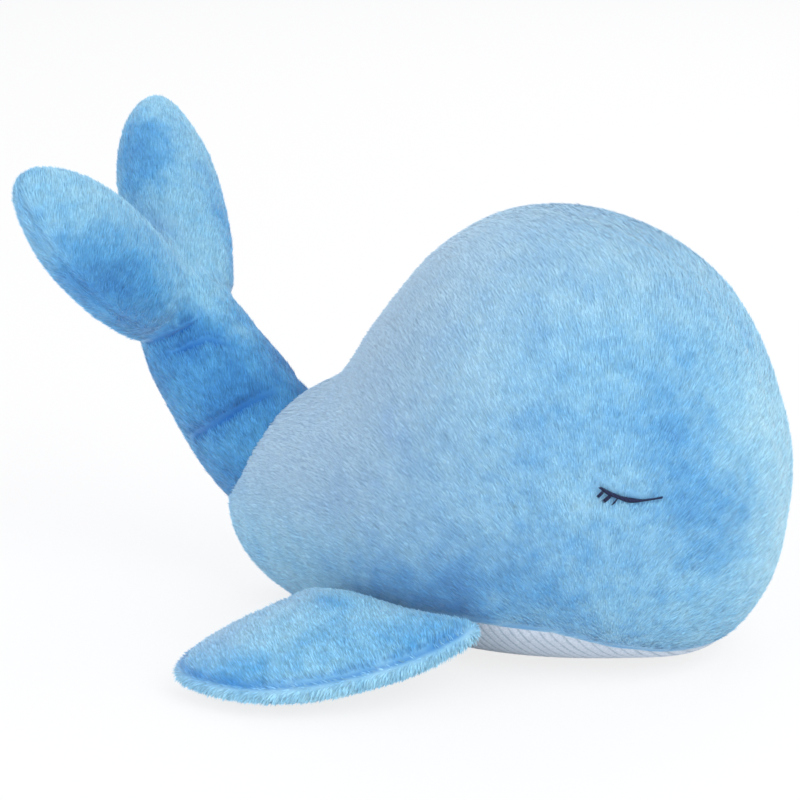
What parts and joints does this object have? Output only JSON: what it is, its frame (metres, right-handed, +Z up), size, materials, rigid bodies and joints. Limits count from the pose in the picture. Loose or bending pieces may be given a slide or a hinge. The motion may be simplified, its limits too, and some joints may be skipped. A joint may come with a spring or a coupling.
{
  "type": "plush whale",
  "caption": "Sewn plush whale with a rounded fur body, ribbed belly panel, upturned tail with fluke lobes, and side fins that flex at their seams.",
  "frame": {"origin": "on the floor, under the middle of the toy's bounding box", "axes": "+X forward to the nose, +Y to the whale's left, +Z up"},
  "size_m": [0.366, 0.3076, 0.2246],
  "materials": {
    "blue_plush": "short soft pile, sky blue",
    "deep_blue_plush": "short soft pile, deeper blue",
    "belly_cloth": "fine ribbed cloth, pale grey white",
    "polyester_fill": "loose white fibre",
    "navy_thread": "satin stitched thread"
  },
  "bodies": {
    "body": {"body_side_right": "blue_plush", "body_side_left": "blue_plush", "belly_panel": "belly_cloth", "body_fill": "polyester_fill", "eye_right": "navy_thread", "eye_left": "navy_thread"},
    "tail": {"tail_right": "deep_blue_plush", "tail_left": "deep_blue_plush", "tail_fill": "polyester_fill"},
    "flukes": {"fluke_right_top": "blue_plush", "fluke_right_under": "blue_plush", "fluke_right_fill": "polyester_fill", "fluke_left_top": "blue_plush", "fluke_left_under": "blue_plush", "fluke_left_fill": "polyester_fill"},
    "fin_right": {"fin_right_top": "blue_plush", "fin_right_under": "blue_plush", "fin_right_fill": "polyester_fill"},
    "fin_left": {"fin_left_top": "blue_plush", "fin_left_under": "blue_plush", "fin_left_fill": "polyester_fill"}
  },
  "joints": [
    {"name": "tail_bend", "type": "hinge", "parent": "body", "child": "tail", "pos_m": [-0.08309, 0, 0.08225], "axis": [0, 1, 0], "range_deg": [-15, 20], "stiffness_Nm_per_rad": 1.5},
    {"name": "fluke_bend", "type": "hinge", "parent": "tail", "child": "flukes", "pos_m": [-0.11959, 0, 0.13005], "axis": [0, 1, 0], "range_deg": [-20, 20], "stiffness_Nm_per_rad": 0.8},
    {"name": "fin_right_flap", "type": "hinge", "parent": "body", "child": "fin_right", "pos_m": [0.02109, -0.07288, 0.02846], "axis": [-0.9734, 0.2283, -0.0209], "range_deg": [-20, 40], "stiffness_Nm_per_rad": 0.4},
    {"name": "fin_left_flap", "type": "hinge", "parent": "body", "child": "fin_left", "pos_m": [0.02109, 0.07288, 0.02846], "axis": [0.9734, 0.2283, 0.0209], "range_deg": [-20, 40], "stiffness_Nm_per_rad": 0.4}
  ]
}
